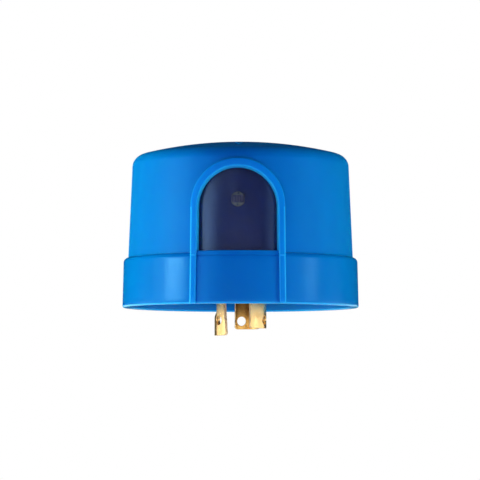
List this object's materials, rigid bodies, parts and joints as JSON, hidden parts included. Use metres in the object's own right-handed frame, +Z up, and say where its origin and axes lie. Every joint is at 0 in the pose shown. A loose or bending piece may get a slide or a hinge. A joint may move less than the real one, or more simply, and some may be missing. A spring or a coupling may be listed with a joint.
{
  "type": "photocell switch",
  "caption": "Twist-lock photocell switch for outdoor lighting: round blue cover with a wide skirt, arched tinted window with a light cell behind it, and curved brass blades underneath.",
  "frame": {"origin": "on the cover's axis, in the plane of the gasket's sealing face, where the switch sits on its receptacle", "axes": "+Z up along the cover's axis, away from the receptacle; the window faces -Y"},
  "size_m": [0.084, 0.084, 0.0686],
  "materials": {
    "cover_plastic": "satin, slightly translucent",
    "window_plastic": "glossy, dark blue tint",
    "base_plastic": "fine moulded grain",
    "gasket_rubber": "matte foam rubber",
    "blade_brass": "bright rolled, with sheared edges",
    "rivet_brass": "satin",
    "cell_ceramic": "coated ceramic with a serpentine track",
    "tinned_wire": "tinned",
    "holder_plastic": "matte dark blue",
    "board_laminate": "green solder mask",
    "screw_steel": "zinc plated",
    "relay_case": "moulded black",
    "film_case": "moulded yellow",
    "arrester_coat": "dipped epoxy",
    "capacitor_sleeve": "shrink sleeve",
    "diode_case": "moulded black",
    "zener_glass": "glassy",
    "dropper_coat": "cement coat",
    "bias_coat": "lacquered, with colour bands",
    "transistor_case": "moulded black",
    "solder": "bright solder"
  },
  "bodies": {
    "root": {"cover": "cover_plastic", "window": "window_plastic", "base": "base_plastic", "gasket": "gasket_rubber", "neutral_blade": "blade_brass", "line_blade": "blade_brass", "load_blade": "blade_brass", "blade_rivets": "rivet_brass", "photocell": "cell_ceramic", "photocell_leads": "tinned_wire", "photocell_holder": "holder_plastic", "circuit_board": "board_laminate", "board_screws": "screw_steel", "relay": "relay_case", "film_capacitor": "film_case", "surge_arrester": "arrester_coat", "filter_capacitor": "capacitor_sleeve", "rectifier_diodes": "diode_case", "zener_diode": "zener_glass", "dropping_resistor": "dropper_coat", "bias_resistors": "bias_coat", "switching_transistor": "transistor_case", "solder_joints": "solder"}
  },
  "joints": []
}
